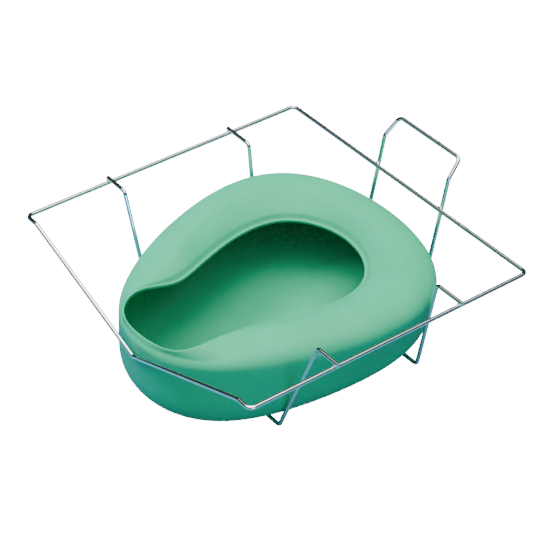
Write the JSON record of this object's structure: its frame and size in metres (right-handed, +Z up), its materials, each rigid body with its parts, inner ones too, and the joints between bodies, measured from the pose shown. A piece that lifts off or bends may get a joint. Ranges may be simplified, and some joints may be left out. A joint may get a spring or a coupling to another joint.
{
  "type": "bedpan",
  "caption": "Moulded bedpan with a keyhole-shaped opening, resting in a welded chrome wire holder with a dipped front rail and a raised back loop.",
  "frame": {"origin": "centre of the part's base: the middle of its width and length, at the height of the lowest wire", "axes": "+Z up, square to the level rails; +Y towards the wide back of the pan and the raised loop, -Y towards the spout; +X to the user's left when sitting on it, the two sides being alike"},
  "size_m": [0.407, 0.4102, 0.2051],
  "materials": {
    "green_plastic": "moulded polypropylene, soft satin sheen",
    "chromed_wire": "bright plated steel wire",
    "weld_metal": "plated resistance weld, slightly rough"
  },
  "bodies": {
    "holder": {"frame_wire": "chromed_wire", "front_cradle_wire": "chromed_wire", "rear_cradle_wire": "chromed_wire", "back_loop_wire": "chromed_wire", "frame_butt_weld": "weld_metal", "front_left_rail_weld": "weld_metal", "front_left_runner_weld": "weld_metal", "front_right_rail_weld": "weld_metal", "front_right_runner_weld": "weld_metal", "left_loop_weld": "weld_metal", "rear_left_rail_weld": "weld_metal", "rear_left_runner_weld": "weld_metal", "rear_right_rail_weld": "weld_metal", "rear_right_runner_weld": "weld_metal", "right_loop_weld": "weld_metal"},
    "pan": {"pan": "green_plastic"}
  },
  "joints": [
    {"name": "pan_lift", "type": "slide", "parent": "holder", "child": "pan", "axis": [0, 0, 1], "range_m": [0, 0.2]}
  ]
}
